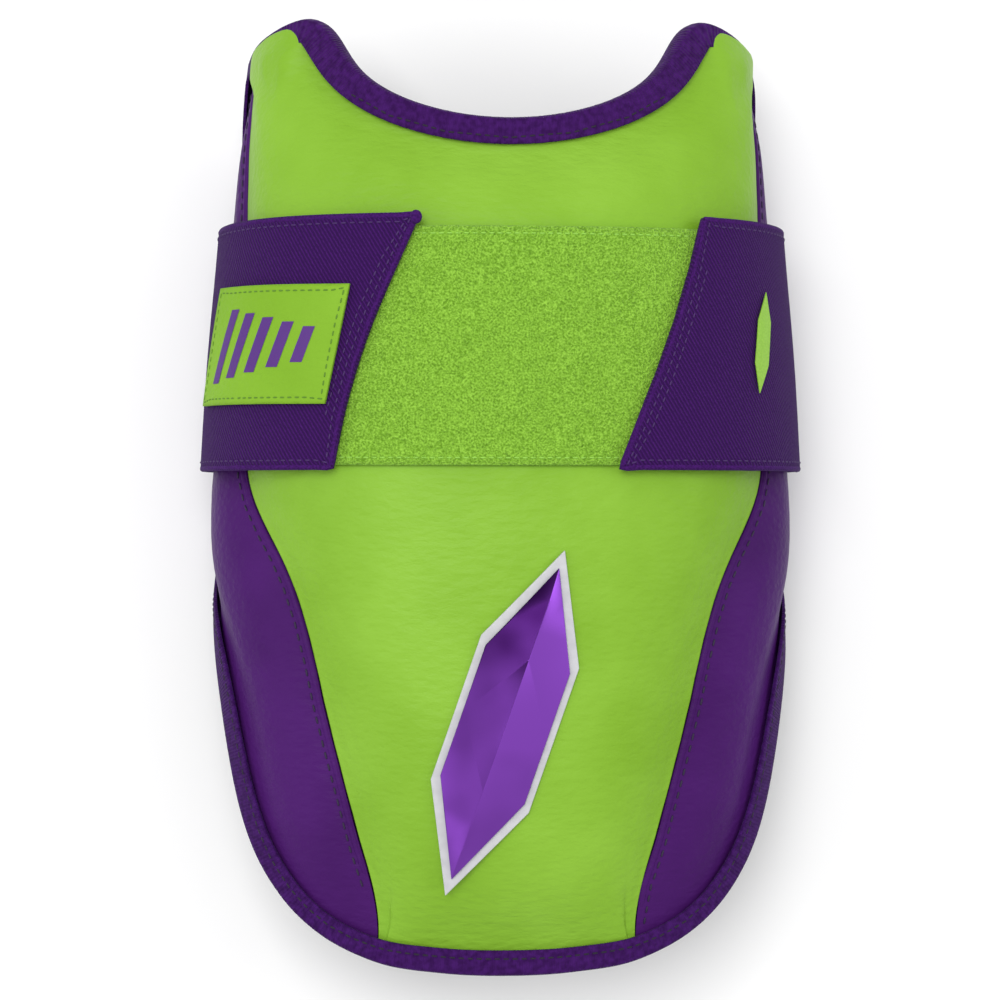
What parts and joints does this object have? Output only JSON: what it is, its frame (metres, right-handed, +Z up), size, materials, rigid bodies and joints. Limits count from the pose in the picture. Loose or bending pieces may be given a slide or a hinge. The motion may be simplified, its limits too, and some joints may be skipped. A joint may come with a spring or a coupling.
{
  "type": "batter's elbow guard",
  "caption": "Arched padded guard for a batter's elbow, with side panels, a bound edge and a wide strap closed on a loop field.",
  "frame": {"origin": "floor point under the middle of the whole guard, which lies on its back with its front up", "axes": "+Z up, out of the guard's front; +Y along the arm to the neckline and its two ears; +X across, to the strap end with the thin print"},
  "size_m": [0.1608, 0.2476, 0.0795],
  "materials": {
    "lining": "plain knitted lining over foam",
    "lime_leather": "grained, semi-matte",
    "purple_leather": "grained, semi-matte",
    "binding_tape": "ribbed woven tape",
    "loop_pile": "fuzzy loop fastener",
    "webbing": "dense twill weave",
    "label_leather": "smooth, semi-matte",
    "print": "thin raised print",
    "emblem_plate": "satin moulded plate",
    "emblem_chrome": "tinted mirror"
  },
  "bodies": {
    "root": {"inner_pad": "lining", "front_panel": "lime_leather", "side_panel_left": "purple_leather", "side_panel_right": "purple_leather", "edge_binding": "binding_tape", "loop_field": "loop_pile", "strap": "webbing", "strap_label": "label_leather", "strap_mark": "print", "emblem_border": "emblem_plate", "emblem": "emblem_chrome"}
  },
  "joints": []
}
